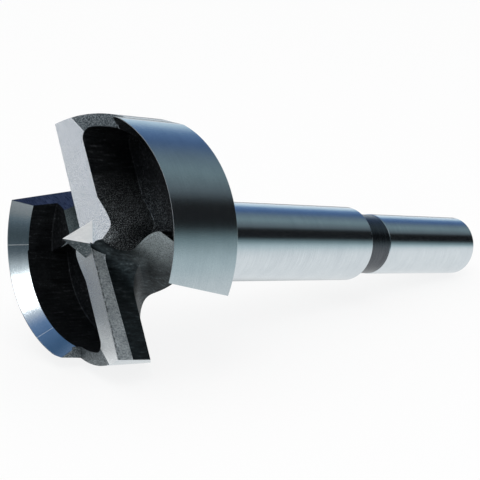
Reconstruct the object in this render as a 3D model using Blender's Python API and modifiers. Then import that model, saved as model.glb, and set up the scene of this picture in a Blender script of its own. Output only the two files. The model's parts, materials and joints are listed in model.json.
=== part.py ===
"""Forstner bit, 35 mm, with a 10 mm round shank: one forged, turned and ground piece of steel.

The bit is modelled on its own axis, with +Z towards the tip and Z = 0 in the plane of the spur
edges. A parent empty then lays it down: it rests on the back edge of its head and on the end
of its shank, with +X towards the shank and the floor at Z = 0.

Around the axis everything comes twice, half a turn apart. Each wing has its own flat frame:
U runs outwards along its cutting lip, V runs back from the lip over its trailing side.
"""

import math

import bpy
import bmesh
from mathutils import Matrix, Vector

MM = 0.001

# Turned sizes
CUT_DIAMETER = 35.0 * MM
HEAD_HEIGHT = 12.0 * MM
OVERALL_LENGTH = 90.0 * MM
POINT_HEIGHT = 4.0 * MM
NECK_DIAMETER = 12.0 * MM
NECK_END_CHAMFER = 0.9 * MM
HUB_FILLET = 3.0 * MM
BAND_DIAMETER = 9.8 * MM
BAND_LENGTH = 5.1 * MM
SHANK_DIAMETER = 10.0 * MM
SHANK_LENGTH = 24.7 * MM
SHANK_LEAD_CHAMFER = 0.15 * MM
SHANK_END_CHAMFER = 0.7 * MM
HEAD_BACK_CHAMFER = 0.3 * MM

# Cutting lips
LIP_ANGLE = math.radians(111.7)
LIP_LEAD = 0.64 * MM
RAKE = math.radians(8.0)
RELIEF = math.radians(16.0)
RELIEF_OVERLAP = 0.15 * MM
RELIEF_END_LEAN = 1.0
CAM_RELIEF = 0.3 * MM
SPUR_START = math.radians(38.4)
STEP_LEAN = math.radians(2.4)

# Gullet in front of each lip
GULLET_ROOT = 0.4 * MM
GULLET_ROOT_SLOPE = 0.55
GULLET_REACH = 10.9 * MM
WING_THICKNESS = 6.7 * MM
UNDERSIDE_SLOPE = 1.1
GULLET_TOP_FILLET = 0.8 * MM
GULLET_FILLET = 4.2 * MM
GULLET_FAR_FILLET = 3.6 * MM
GULLET_FAR_TOP_FILLET = 0.4 * MM
SPUR_END = math.radians(50.0)
SPUR_END_LEAN = math.radians(0.56) / MM
SPUR_END_SKEW = math.radians(143.0)
SPUR_OVERRUN = math.radians(15.0)

# Pocket behind each wing
RIM_WALL = 1.65 * MM
POCKET_DEPTH = 9.2 * MM
POCKET_FLOOR_FILLET = 2.6 * MM
POCKET_DRAFT = 0.92
POCKET_CORNER = 1.4 * MM
WING_WIDTH = 3.5 * MM
POCKET_REACH = 4.3 * MM
DRAFT_CENTRE = (3.5 * MM, 8.5 * MM)
CHANNEL_START = 3.2 * MM
CHANNEL_DEPTH = 6.4 * MM
CHANNEL_STEP = 0.06 * MM
CHANNEL_FLOOR_FILLET = 1.0 * MM
WEB_END = 10.1 * MM
WEB_AND_HUB_EDGE = (
    (-4.4 * MM, 11.2 * MM),
    (-3.8 * MM, 10.5 * MM),
    (-3.1 * MM, 10.15 * MM),
    (-2.85 * MM, 9.4 * MM),
    (-2.8 * MM, 7.8 * MM),
    (-3.1 * MM, 5.0 * MM),
    (-3.25 * MM, 3.2 * MM),
    (-2.6 * MM, 1.95 * MM),
    (-1.5 * MM, 1.8 * MM),
    (-0.9 * MM, 2.3 * MM),
    (-0.1 * MM, 3.5 * MM),
    (0.8 * MM, 4.0 * MM),
    (2.6 * MM, 3.7 * MM),
    (5.0 * MM, 2.95 * MM),
)

# Spurs
SPUR_LAND = 0.1 * MM
SPUR_GRIND_DEPTH = 1.8 * MM

# Centre point, seen from the front: corners of its base in the spur plane
POINT_LIP_CORNER = (0.9 * MM, -LIP_LEAD)
POINT_BACK_CORNER = (1.87 * MM, 1.34 * MM)

# Facets
TURNED_FACETS = 48
FILLET_FACETS = 6
CURVE_FACETS = 5
SPUR_FACETS = 28

HEAD_RADIUS = CUT_DIAMETER / 2
CLEAR = 3.0 * MM


def new_collection(name):
    """Return a new collection linked to the scene."""
    collection = bpy.data.collections.new(name)
    bpy.context.scene.collection.children.link(collection)
    return collection


def mesh_object(name, mesh, collection):
    """Return a new object in the collection."""
    thing = bpy.data.objects.new(name, mesh)
    collection.objects.link(thing)
    return thing


def arc_points(centre, radius, start, end, count):
    """Return points on an arc from one angle to the other, both ends included."""
    points = []
    for step in range(count + 1):
        angle = start + (end - start) * step / count
        points.append((centre[0] + radius * math.cos(angle), centre[1] + radius * math.sin(angle)))
    return points


def smooth_points(knots, count):
    """Return points of a smooth curve through the knots, without its last knot."""
    padded = [knots[0]] + list(knots) + [knots[-1]]
    points = []
    for index in range(1, len(padded) - 2):
        before, start, end, after = (Vector(padded[index + shift]) for shift in (-1, 0, 1, 2))
        for step in range(count):
            t = step / count
            point = 0.5 * (
                2 * start
                + (end - before) * t
                + (2 * before - 5 * start + 4 * end - after) * t ** 2
                + (3 * start - before - 3 * end + after) * t ** 3
            )
            points.append((point.x, point.y))
    return points


def loft(name, rings, collection):
    """Return a closed solid through rings of equally many points, from the lowest up."""
    shell = bmesh.new()
    rows = [[shell.verts.new(point) for point in ring] for ring in rings]
    count = len(rows[0])
    for lower, upper in zip(rows, rows[1:]):
        for index in range(count):
            following = (index + 1) % count
            shell.faces.new((lower[index], lower[following], upper[following], upper[index]))
    shell.faces.new(list(reversed(rows[0])))
    shell.faces.new(rows[-1])
    bmesh.ops.recalc_face_normals(shell, faces=shell.faces)
    mesh = bpy.data.meshes.new(name)
    shell.to_mesh(mesh)
    shell.free()
    return mesh_object(name, mesh, collection)


def wing_frame(turn):
    """Return the matrix that takes a wing's U, V and Z to the bit's X, Y and Z."""
    angle = LIP_ANGLE + turn
    across = Matrix(((math.cos(angle), math.sin(angle), 0, 0),
                     (math.sin(angle), -math.cos(angle), 0, 0),
                     (0, 0, 1, 0),
                     (0, 0, 0, 1)))
    return across


def head_profile():
    """Return the turned outline as radius and height, from the front face to the shank's end."""
    neck_radius = NECK_DIAMETER / 2
    band_radius = BAND_DIAMETER / 2
    shank_radius = SHANK_DIAMETER / 2
    shank_end = POINT_HEIGHT - OVERALL_LENGTH
    shank_start = shank_end + SHANK_LENGTH
    band_start = shank_start + BAND_LENGTH
    fillet_centre = (neck_radius + HUB_FILLET, -HEAD_HEIGHT - HUB_FILLET)
    outline = [
        (0.0, 0.0),
        (HEAD_RADIUS, 0.0),
        (HEAD_RADIUS, HEAD_BACK_CHAMFER - HEAD_HEIGHT),
        (HEAD_RADIUS - HEAD_BACK_CHAMFER, -HEAD_HEIGHT),
    ]
    outline += arc_points(fillet_centre, HUB_FILLET, math.pi / 2, math.pi, FILLET_FACETS)
    outline += [
        (neck_radius, band_start + NECK_END_CHAMFER),
        (band_radius, band_start),
        (band_radius, shank_start),
        (shank_radius, shank_start - SHANK_LEAD_CHAMFER),
        (shank_radius, shank_end + SHANK_END_CHAMFER),
        (shank_radius - SHANK_END_CHAMFER, shank_end),
        (0.0, shank_end),
    ]
    return outline


def rim_relief(angle):
    """Return how far the rim is drawn in at this angle: it grows behind each lip, up to the spur."""
    for turn in (0.0, math.pi):
        behind = (LIP_ANGLE + turn - angle) % math.tau
        if behind < SPUR_START:
            return CAM_RELIEF * behind / SPUR_START
    return 0.0


def relieve_rim(mesh):
    """Draw the rim in behind each lip."""
    for vertex in mesh.vertices:
        radius = math.hypot(vertex.co.x, vertex.co.y)
        if radius < HEAD_RADIUS - 2 * HEAD_BACK_CHAMFER or vertex.co.z < -1.01 * HEAD_HEIGHT:
            continue
        factor = 1 - rim_relief(math.atan2(vertex.co.y, vertex.co.x)) / radius
        vertex.co.x *= factor
        vertex.co.y *= factor


def turned_blank(collection, cutters):
    """Return the head, hub, neck, band and shank as one turned solid."""
    outline = head_profile()
    mesh = bpy.data.meshes.new("turned_outline")
    points = [(radius, 0.0, height) for radius, height in outline]
    mesh.from_pydata(points, [(i, i + 1) for i in range(len(points) - 1)], [])
    draft = mesh_object("turned_outline", mesh, cutters)
    screw = draft.modifiers.new("Screw", "SCREW")
    screw.steps = TURNED_FACETS
    screw.render_steps = TURNED_FACETS
    screw.use_merge_vertices = True
    screw.merge_threshold = 0.00001
    evaluated = draft.evaluated_get(bpy.context.evaluated_depsgraph_get())
    solid = bpy.data.meshes.new_from_object(evaluated)
    solid.name = "forstner_bit"
    bpy.data.objects.remove(draft)
    relieve_rim(solid)
    return mesh_object("forstner_bit", solid, collection)


def gullet_ring(height, rake_side, fillet, far_fillet):
    """Return one level of the slot in front of a lip, in the wing's frame."""
    root = GULLET_ROOT - GULLET_ROOT_SLOPE * height
    far_side = -GULLET_REACH - math.tan(RAKE) * height
    outside = HEAD_RADIUS + CLEAR
    spur_end = SPUR_END + SPUR_END_LEAN * height
    corner = Vector((math.cos(spur_end), -math.sin(spur_end))) * HEAD_RADIUS
    inward = Vector((math.cos(SPUR_END_SKEW), math.sin(SPUR_END_SKEW)))
    bend = corner + inward * (far_side - corner.y) / inward.y
    past = corner - inward * CLEAR
    flat = [(outside, rake_side)]
    flat += arc_points((root + fillet, rake_side - fillet), fillet, math.pi / 2, math.pi,
                       2 * FILLET_FACETS)
    far_centre = (root + far_fillet, far_side + far_fillet)
    flat += arc_points(far_centre, far_fillet, math.pi, 1.5 * math.pi, FILLET_FACETS)
    flat += [tuple(bend), tuple(past), (outside, past.y)]
    return [(u, v, height) for u, v in flat]


def gullet_cutter(name, cutters):
    """Return the slot that the chips leave by: rake face, root, far wall and wing underside."""
    waist = -WING_THICKNESS
    back = -HEAD_HEIGHT
    below = back - HUB_FILLET - CLEAR / 3
    above = CLEAR / 3
    rake_slope = math.tan(RAKE)
    waist_side = -LIP_LEAD - rake_slope * waist
    back_side = waist_side + UNDERSIDE_SLOPE * (waist - back)
    below_side = waist_side + UNDERSIDE_SLOPE * (waist - below)
    rings = [
        gullet_ring(below, below_side, GULLET_FILLET, GULLET_FAR_FILLET),
        gullet_ring(back, back_side, GULLET_FILLET, GULLET_FAR_FILLET),
        gullet_ring(waist, waist_side, GULLET_FILLET, GULLET_FAR_TOP_FILLET),
        gullet_ring(0.0, -LIP_LEAD, GULLET_TOP_FILLET, GULLET_FAR_TOP_FILLET),
        gullet_ring(above, -LIP_LEAD - rake_slope * above, GULLET_TOP_FILLET,
                    GULLET_FAR_TOP_FILLET),
    ]
    return loft(name, rings, cutters)


def relief_cutter(name, cutters):
    """Return the wedge above a wing's relief face, up to the step where the spur starts."""
    slope = math.tan(RELIEF)
    above = CLEAR / 6
    start = -LIP_LEAD - above / slope
    middle = HEAD_RADIUS / 2
    rings = []
    for reach in (middle, HEAD_RADIUS + CLEAR):
        foot = reach * math.tan(SPUR_START - STEP_LEAN)
        foot_height = -slope * (foot + LIP_LEAD)
        crest = reach * math.tan(SPUR_START)
        top = crest + (crest - foot) * above / -foot_height
        rings.append([(reach, start, above), (reach, foot, foot_height), (reach, top, above)])
    inner = [(-RELIEF_END_LEAN * v - RELIEF_OVERLAP, v, height) for u, v, height in rings[0]]
    return loft(name, [inner] + rings, cutters)


def pocket_outline():
    """Return the pocket's mouth behind a wing, in the wing's frame."""
    inside = HEAD_RADIUS - RIM_WALL
    flank = WING_WIDTH - LIP_LEAD
    corner_v = flank + POCKET_CORNER
    corner_reach = inside - POCKET_CORNER
    corner_u = math.sqrt(corner_reach ** 2 - corner_v ** 2)
    corner_turn = math.atan2(corner_v, corner_u)
    far_turn = math.acos(-POCKET_REACH / inside)
    outline = arc_points((corner_u, corner_v), POCKET_CORNER, -math.pi / 2, corner_turn,
                         FILLET_FACETS)
    outline += arc_points((0.0, 0.0), inside, corner_turn, far_turn,
                          FILLET_FACETS * CURVE_FACETS)[1:]
    outline += smooth_points(WEB_AND_HUB_EDGE, CURVE_FACETS)
    outline.append(WEB_AND_HUB_EDGE[-1])
    return outline


def channel_outline():
    """Return the mouth of the shallow channel from the pocket to the gap at the spur's end."""
    inside = HEAD_RADIUS - RIM_WALL - CHANNEL_STEP
    near_turn = math.acos(-CHANNEL_START / inside)
    far_turn = math.pi - SPUR_END + SPUR_OVERRUN / 2
    outline = arc_points((0.0, 0.0), inside, near_turn, far_turn, FILLET_FACETS * 2)
    outline.append((outline[-1][0], WEB_END))
    outline.append((-CHANNEL_START, WEB_END))
    return outline


def hollow(name, outline, depth, floor_fillet, cutters):
    """Return a forged hollow with drafted walls and a rounded floor."""
    draft = (1 - POCKET_DRAFT) * (CLEAR + depth) / (CLEAR + POCKET_DEPTH)
    floor = []
    for u, v in outline:
        floor.append((u + (DRAFT_CENTRE[0] - u) * draft, v + (DRAFT_CENTRE[1] - v) * draft,
                      -depth))
    mouth = [(u, v, CLEAR) for u, v in outline]
    cutter = loft(name, [floor, mouth], cutters)
    bevel = cutter.modifiers.new("Floor fillet", "BEVEL")
    bevel.width = floor_fillet
    bevel.segments = 4
    bevel.limit_method = "WEIGHT"
    weights = cutter.data.attributes.new("bevel_weight_edge", "FLOAT", "EDGE")
    for edge in cutter.data.edges:
        heights = [cutter.data.vertices[index].co.z for index in edge.vertices]
        weights.data[edge.index].value = 1.0 if max(heights) < -0.99 * depth else 0.0
    return cutter


def pocket_cutter(name, cutters):
    """Return the hollow behind a wing."""
    return hollow(name, pocket_outline(), POCKET_DEPTH, POCKET_FLOOR_FILLET, cutters)


def channel_cutter(name, cutters):
    """Return the channel that runs on from the pocket along the inside of the rim."""
    return hollow(name, channel_outline(), CHANNEL_DEPTH, CHANNEL_FLOOR_FILLET, cutters)


def spur_cutter(name, cutters):
    """Return the ring segment that grinds the inside of the rim to the spur edge."""
    slope = (RIM_WALL - SPUR_LAND) / SPUR_GRIND_DEPTH
    edge_radius = HEAD_RADIUS - SPUR_LAND
    inner_radius = HEAD_RADIUS - RIM_WALL - CLEAR
    profile = [
        (inner_radius, -SPUR_GRIND_DEPTH),
        (edge_radius - slope * SPUR_GRIND_DEPTH, -SPUR_GRIND_DEPTH),
        (edge_radius + slope * CLEAR, CLEAR),
        (inner_radius, CLEAR),
    ]
    first = SPUR_START - STEP_LEAN / 2
    last = math.pi - SPUR_END + SPUR_OVERRUN
    rings = []
    for step in range(SPUR_FACETS + 1):
        angle = first + (last - first) * step / SPUR_FACETS
        rings.append([(radius * math.cos(angle), radius * math.sin(angle), height)
                      for radius, height in profile])
    return loft(name, rings, cutters)


def centre_point(cutters):
    """Return the four-sided centre point, to be joined to the hub."""
    foot = -CLEAR / 3
    grow = (POINT_HEIGHT - foot) / POINT_HEIGHT
    lip_u, lip_v = POINT_LIP_CORNER
    back_u, back_v = POINT_BACK_CORNER
    flat = [(lip_u, lip_v), (back_u, back_v), (-lip_u, -lip_v), (-back_u, -back_v)]
    pyramid = bmesh.new()
    base = [pyramid.verts.new((u * grow, v * grow, foot)) for u, v in flat]
    tip = pyramid.verts.new((0.0, 0.0, POINT_HEIGHT))
    pyramid.faces.new(base)
    for index in range(4):
        pyramid.faces.new((base[index], base[(index + 1) % 4], tip))
    bmesh.ops.recalc_face_normals(pyramid, faces=pyramid.faces)
    mesh = bpy.data.meshes.new("centre_point")
    pyramid.to_mesh(mesh)
    pyramid.free()
    return mesh_object("centre_point", mesh, cutters)


def cut(solid, tool, operation="DIFFERENCE"):
    """Add a Boolean of the tool to the solid."""
    boolean = solid.modifiers.new(tool.name, "BOOLEAN")
    boolean.operation = operation
    boolean.solver = "EXACT"
    boolean.object = tool
    tool.hide_render = True
    tool.display_type = "WIRE"


def place_in_wing(tool, turn):
    """Turn a tool made in a wing's frame onto that wing, with its faces still outwards."""
    tool.data.transform(wing_frame(turn))
    tool.data.flip_normals()


def steel():
    """Return the ground steel."""
    material = bpy.data.materials.new("ground_steel")
    material.use_nodes = True
    shader = material.node_tree.nodes["Principled BSDF"]
    shader.inputs["Base Color"].default_value = (0.52, 0.55, 0.57, 1.0)
    shader.inputs["Metallic"].default_value = 1.0
    shader.inputs["Roughness"].default_value = 0.28
    return material


def resting_side():
    """Return the side that the bit lies on, and how far the axis stands off the floor at the head.

    The head lies on the shoulder where the lower wing's spur starts, and on the relieved rim
    between that shoulder and the lip.
    """
    facet = math.tau / TURNED_FACETS
    shoulder = math.floor((LIP_ANGLE + math.pi - SPUR_START) / facet) * facet
    sides = []
    for number in range(1, round(SPUR_START / facet)):
        radius = HEAD_RADIUS - rim_relief(shoulder + number * facet)
        lean = (HEAD_RADIUS / radius - math.cos(number * facet)) / math.sin(number * facet)
        sides.append(math.atan(lean))
    lean = min(sides)
    return shoulder + lean, HEAD_RADIUS * math.cos(lean)


def lying_matrix():
    """Return the turn that lays the bit on its head's back edge and its shank's end."""
    down, head_contact = resting_side()
    facet = math.tau / TURNED_FACETS
    shank_contact = SHANK_DIAMETER / 2 * math.cos(down - round(down / facet) * facet)
    run = (OVERALL_LENGTH - POINT_HEIGHT - SHANK_END_CHAMFER) - (HEAD_HEIGHT - HEAD_BACK_CHAMFER)
    tilt = math.atan2(head_contact - shank_contact, run)
    roll = Matrix.Rotation(math.pi - down, 4, "Z")
    lay = Matrix.Rotation(tilt - math.pi / 2, 4, "Y")
    return lay @ roll


def settle(bit, pose):
    """Put the floor at Z = 0 and the middle of the bit's box over the origin."""
    bpy.context.view_layer.update()
    depsgraph = bpy.context.evaluated_depsgraph_get()
    evaluated = bit.evaluated_get(depsgraph)
    mesh = evaluated.to_mesh()
    corners = [evaluated.matrix_world @ vertex.co for vertex in mesh.vertices]
    low = Vector([min(corner[axis] for corner in corners) for axis in range(3)])
    high = Vector([max(corner[axis] for corner in corners) for axis in range(3)])
    evaluated.to_mesh_clear()
    middle = (low + high) / 2
    pose.location -= Vector((middle.x, middle.y, low.z))
    bpy.context.view_layer.update()


def build():
    """Build the bit and lay it down."""
    for thing in list(bpy.data.objects):
        bpy.data.objects.remove(thing)
    parts = new_collection("forstner_bit")
    cutters = new_collection("cutters")

    bit = turned_blank(parts, cutters)
    tools = []
    for number, turn in enumerate((0.0, math.pi), start=1):
        for make, label in ((pocket_cutter, "pocket"), (channel_cutter, "channel"),
                            (spur_cutter, "spur_grind"), (relief_cutter, "relief")):
            tool = make(f"{label}_{number}", cutters)
            place_in_wing(tool, turn)
            cut(bit, tool)
            tools.append(tool)
    point = centre_point(cutters)
    place_in_wing(point, 0.0)
    cut(bit, point, "UNION")
    tools.append(point)
    for number, turn in enumerate((0.0, math.pi), start=1):
        gullet = gullet_cutter(f"gullet_{number}", cutters)
        place_in_wing(gullet, turn)
        cut(bit, gullet)
        tools.append(gullet)

    bit.data.materials.clear()
    bit.data.materials.append(steel())
    bit.data.shade_smooth()
    bit.data.set_sharp_from_angle(angle=math.radians(30))

    pose = bpy.data.objects.new("lying_pose", None)
    parts.objects.link(pose)
    pose.matrix_world = lying_matrix()
    for thing in [bit] + tools:
        thing.parent = pose
    settle(bit, pose)


build()
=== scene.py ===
import math
import json

import bpy
import bmesh
from mathutils import Matrix, Vector

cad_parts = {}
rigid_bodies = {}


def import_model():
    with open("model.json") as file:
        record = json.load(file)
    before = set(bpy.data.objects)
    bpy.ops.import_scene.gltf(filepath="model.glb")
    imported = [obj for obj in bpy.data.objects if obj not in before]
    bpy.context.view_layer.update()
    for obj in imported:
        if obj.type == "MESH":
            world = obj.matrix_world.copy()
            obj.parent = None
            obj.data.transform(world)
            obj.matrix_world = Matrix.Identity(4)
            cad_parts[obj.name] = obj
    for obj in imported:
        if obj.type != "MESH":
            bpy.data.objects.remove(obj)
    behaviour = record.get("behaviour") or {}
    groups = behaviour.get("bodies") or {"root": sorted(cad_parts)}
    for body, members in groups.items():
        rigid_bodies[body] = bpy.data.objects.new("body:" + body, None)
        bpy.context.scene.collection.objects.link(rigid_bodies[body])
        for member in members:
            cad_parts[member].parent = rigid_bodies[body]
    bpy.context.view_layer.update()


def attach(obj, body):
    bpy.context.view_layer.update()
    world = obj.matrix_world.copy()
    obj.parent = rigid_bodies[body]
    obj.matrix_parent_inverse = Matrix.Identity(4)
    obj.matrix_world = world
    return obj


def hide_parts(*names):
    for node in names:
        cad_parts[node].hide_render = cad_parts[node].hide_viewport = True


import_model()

# The bit is made upright in millimetres, tip up, with the spur edges at height 0, and laid down at the end.
lyingPose = Matrix((
    (0.034469, 0.160140, -0.986492, -0.040798),
    (-0.977610, 0.210423, 0.0, 0.0),
    (0.207581, 0.964405, 0.163807, 0.018899),
    (0.0, 0.0, 0.0, 1.0),
))
millimetre = 0.001

head = {
    "radius": 17.46,
    "height": 12.0,
    "backChamfer": 0.3,
    "lipAngle": 111.7,     # degrees from the head's right side, seen from the front
    "lipLead": 0.64,       # how far each lip stands ahead of the middle
    "camRelief": 0.3,      # the rim is drawn in behind each lip, growing up to the spur
    "camEnd": 36.7, "camShoulder": 44.2,
    "floorSide": 257.85, "floorDistance": 17.19, "floorSpan": 12,     # where the rim mustn't pass the floor
    "spurStart": 38.4,     # degrees behind the lip
    "clear": 3.0,          # how far each tool stands past what it cuts
}
slack = 0.001  # millimetres between a face's middle and the height that it is told by


# small helpers, used by every tool below
def startFresh():
    if bpy.context.object and bpy.context.object.mode != "OBJECT":
        bpy.ops.object.mode_set(mode="OBJECT")
    bpy.ops.object.select_all(action="DESELECT")


def startPoint(name, point):
    startFresh()
    bpy.ops.mesh.primitive_plane_add(size=0.1, location=point)
    thing = bpy.context.object
    thing.name = name
    bpy.ops.object.transform_apply(location=True, rotation=False, scale=False)
    bpy.ops.object.mode_set(mode="EDIT")
    bpy.ops.mesh.select_mode(type="VERT")
    bpy.ops.mesh.select_all(action="SELECT")
    bpy.ops.mesh.merge(type="CENTER")
    return thing


def traceOn(points):
    # pull the selected vertex from point to point, and leave the chain selected
    for before, after in zip(points, points[1:]):
        step = Vector(after) - Vector(before)
        bpy.ops.mesh.extrude_region_move(TRANSFORM_OT_translate={"value": step})
    bpy.ops.mesh.select_linked(delimit=set())


def paintFaces(thing, finish, test):
    # give the faces that pass the test their own finish
    if finish.name not in [slot.name for slot in thing.material_slots]:
        thing.data.materials.append(finish)
    number = [slot.name for slot in thing.material_slots].index(finish.name)
    for face in thing.data.polygons:
        if test(face.center, face.normal):
            face.material_index = number


def arcPoints(centre, radius, first, last, steps, height):
    points = []
    for step in range(steps + 1):
        angle = math.radians(first + (last - first) * step / steps)
        points.append((centre[0] + radius * math.cos(angle), centre[1] + radius * math.sin(angle), height))
    return points


def smoothThrough(knots, steps, height):
    padded = [knots[0]] + list(knots) + [knots[-1]]
    points = []
    for index in range(1, len(padded) - 2):
        a, b, c, d = (Vector(padded[index + shift]) for shift in (-1, 0, 1, 2))
        for step in range(steps):
            t = step / steps
            squared = (2 * a - 5 * b + 4 * c - d) * t ** 2
            cubed = (3 * b - a - 3 * c + d) * t ** 3
            p = 0.5 * (2 * b + (c - a) * t + squared + cubed)
            points.append((p.x, p.y, height))
    points.append((knots[-1][0], knots[-1][1], height))
    return points


def traceFace(name, outline):
    # one flat face through the points, left selected
    thing = startPoint(name, outline[0])
    traceOn(outline)
    bpy.ops.mesh.edge_face_add()
    return thing


def closeTool(tool, finish):
    # faces outwards, with the finish that the tool leaves on what it cuts
    bpy.ops.mesh.select_all(action="SELECT")
    bpy.ops.mesh.normals_make_consistent(inside=False)
    bpy.ops.object.mode_set(mode="OBJECT")
    tool.data.materials.append(finish)
    return tool


def solidFromRings(name, rings, finish):
    # each ring lies level; neighbouring rings are bridged, and the ends are filled
    thing = startPoint(name, rings[0][0])
    traceOn(rings[0])
    bpy.ops.mesh.edge_face_add()
    bpy.ops.mesh.delete(type="ONLY_FACE")
    for ring in rings[1:]:
        bpy.ops.mesh.select_all(action="DESELECT")
        bpy.ops.mesh.primitive_plane_add(size=0.1, location=ring[0])
        bpy.ops.mesh.merge(type="CENTER")
        traceOn(ring)
        bpy.ops.mesh.edge_face_add()
        bpy.ops.mesh.delete(type="ONLY_FACE")
    cage = bmesh.from_edit_mesh(thing.data)
    corners = {tuple(round(value, 3) for value in vertex.co): vertex.index for vertex in cage.verts}

    def fillBetween(points):
        numbers = [corners[tuple(round(value, 3) for value in point)] for point in points]
        bpy.ops.mesh.select_all(action="DESELECT")
        cage = bmesh.from_edit_mesh(thing.data)
        cage.verts.ensure_lookup_table()
        for number in numbers:
            cage.verts[number].select = True
        cage.select_flush_mode()
        bpy.ops.mesh.edge_face_add()

    for low, high in zip(rings, rings[1:]):
        for index in range(len(low)):
            fillBetween((low[index - 1], low[index], high[index], high[index - 1]))
    fillBetween(rings[0])
    fillBetween(rings[-1])
    return closeTool(thing, finish)


# shared effects, as node groups
def newGroup(name, inputs, outputs):
    tree = bpy.data.node_groups.new(name, "ShaderNodeTree")
    for label, kind, value in inputs:
        socket = tree.interface.new_socket(name=label, in_out="INPUT", socket_type=kind)
        if value is not None:
            socket.default_value = value
    for label, kind in outputs:
        tree.interface.new_socket(name=label, in_out="OUTPUT", socket_type=kind)
    return tree, tree.nodes.new("NodeGroupInput"), tree.nodes.new("NodeGroupOutput")


def addNode(tree, kind, settings=None, values=None, links=None):
    node = tree.nodes.new(kind)
    for key, value in (settings or {}).items():
        setattr(node, key, value)
    for key, value in (values or {}).items():
        node.inputs[key].default_value = value
    for key, source in (links or {}).items():
        tree.links.new(source, node.inputs[key])
    return node


def addRamp(tree, source, stops):
    node = addNode(tree, "ShaderNodeValToRGB", links={"Fac": source})
    ramp = node.color_ramp
    while len(ramp.elements) < len(stops):
        ramp.elements.new(0.5)
    for element, (place, colour) in zip(ramp.elements, stops):
        element.position = place
    for element, (place, colour) in zip(ramp.elements, stops):
        element.color = (*colour, 1.0)
    return node.outputs["Color"]


def addMath(tree, operation, *terms):
    # each term is a socket to link or a plain number
    node = addNode(tree, "ShaderNodeMath", {"operation": operation})
    for index, term in enumerate(terms):
        if isinstance(term, float):
            node.inputs[index].default_value = term
        else:
            tree.links.new(term, node.inputs[index])
    return node.outputs[0]


def addNoise(tree, place, scale, detail, roughness):
    return addNode(tree, "ShaderNodeTexNoise", None, {"Scale": scale, "Detail": detail, "Roughness": roughness},
                   {"Vector": place}).outputs["Fac"]


def addRange(tree, source, low, high, toLow, toHigh):
    return addNode(tree, "ShaderNodeMapRange", {"clamp": True},
                   {"From Min": low, "From Max": high, "To Min": toLow, "To Max": toHigh},
                   {"Value": source}).outputs[0]


def mixColours(tree, amount, first, second):
    # each colour is a socket to link or three plain numbers
    mix = addNode(tree, "ShaderNodeMix", {"data_type": "RGBA"}, links={"Factor": amount})
    for slot, colour in ((6, first), (7, second)):
        if isinstance(colour, tuple):
            mix.inputs[slot].default_value = (*colour, 1)
        else:
            tree.links.new(colour, mix.inputs[slot])
    return mix.outputs[2]


# place on the bit: millimetres along and around its own axis
bitPlace, groupIn, groupOut = newGroup("bitPlace", [], [
    ("Place", "NodeSocketVector"), ("Along", "NodeSocketFloat"), ("Around", "NodeSocketFloat"),
    ("Radius", "NodeSocketFloat")])
coords = addNode(bitPlace, "ShaderNodeTexCoord")
turned = addNode(bitPlace, "ShaderNodeMapping", {"vector_type": "TEXTURE"},
                 {"Location": lyingPose.translation, "Rotation": lyingPose.to_euler(),
                  "Scale": (millimetre, millimetre, millimetre)},
                 {"Vector": coords.outputs["Object"]})
split = addNode(bitPlace, "ShaderNodeSeparateXYZ", links={"Vector": turned.outputs["Vector"]})
around = addMath(bitPlace, "ARCTAN2", split.outputs["Y"], split.outputs["X"])
flat = addNode(bitPlace, "ShaderNodeCombineXYZ", links={"X": split.outputs["X"], "Y": split.outputs["Y"]})
radius = addNode(bitPlace, "ShaderNodeVectorMath", {"operation": "LENGTH"}, links={0: flat.outputs["Vector"]})
bitPlace.links.new(turned.outputs["Vector"], groupOut.inputs["Place"])
bitPlace.links.new(split.outputs["Z"], groupOut.inputs["Along"])
bitPlace.links.new(around, groupOut.inputs["Around"])
bitPlace.links.new(radius.outputs["Value"], groupOut.inputs["Radius"])

# turned or ground lines that run around the axis
turnedLines, groupIn, groupOut = newGroup("turnedLines", [
    ("Lines per mm", "NodeSocketFloat", 6.0), ("Waver", "NodeSocketFloat", 0.5),
    ("Speckle", "NodeSocketFloat", 0.5)], [
    ("Lines", "NodeSocketFloat"), ("Patches", "NodeSocketFloat")])
place = addNode(turnedLines, "ShaderNodeGroup", {"node_tree": bitPlace})
along = addMath(turnedLines, "MULTIPLY", place.outputs["Along"], groupIn.outputs["Lines per mm"])
turn = addMath(turnedLines, "MULTIPLY", place.outputs["Around"], groupIn.outputs["Waver"])
stretched = addNode(turnedLines, "ShaderNodeCombineXYZ",
                    links={"X": along, "Y": turn, "Z": place.outputs["Radius"]})
fine = addNoise(turnedLines, stretched.outputs[0], 1.0, 5.0, 0.65)
broad = addNoise(turnedLines, place.outputs["Place"], 0.35, 3.0, 0.5)
speckle = addNoise(turnedLines, place.outputs["Place"], 5.5, 4.0, 0.75)
blended = addNode(turnedLines, "ShaderNodeMix", {"data_type": "FLOAT"},
                  links={"Factor": groupIn.outputs["Speckle"], 2: fine, 3: speckle})
turnedLines.links.new(blended.outputs[0], groupOut.inputs["Lines"])
turnedLines.links.new(broad, groupOut.inputs["Patches"])

# straight grinding scratches across a flat, in the direction that Turn gives
grindMarks, groupIn, groupOut = newGroup("grindMarks", [
    ("Turn", "NodeSocketVector", (0.0, 0.0, 0.0)), ("Stretch", "NodeSocketVector", (0.15, 6.0, 6.0))], [
    ("Marks", "NodeSocketFloat"), ("Patches", "NodeSocketFloat")])
place = addNode(grindMarks, "ShaderNodeGroup", {"node_tree": bitPlace})
rotated = addNode(grindMarks, "ShaderNodeVectorRotate", {"rotation_type": "EULER_XYZ"},
                  links={"Vector": place.outputs["Place"], "Rotation": groupIn.outputs["Turn"]})
stretched = addNode(grindMarks, "ShaderNodeVectorMath", {"operation": "MULTIPLY"},
                    links={0: rotated.outputs[0], 1: groupIn.outputs["Stretch"]})
fine = addNoise(grindMarks, stretched.outputs[0], 1.0, 6.0, 0.7)
broad = addNoise(grindMarks, place.outputs["Place"], 0.5, 4.0, 0.6)
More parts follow.
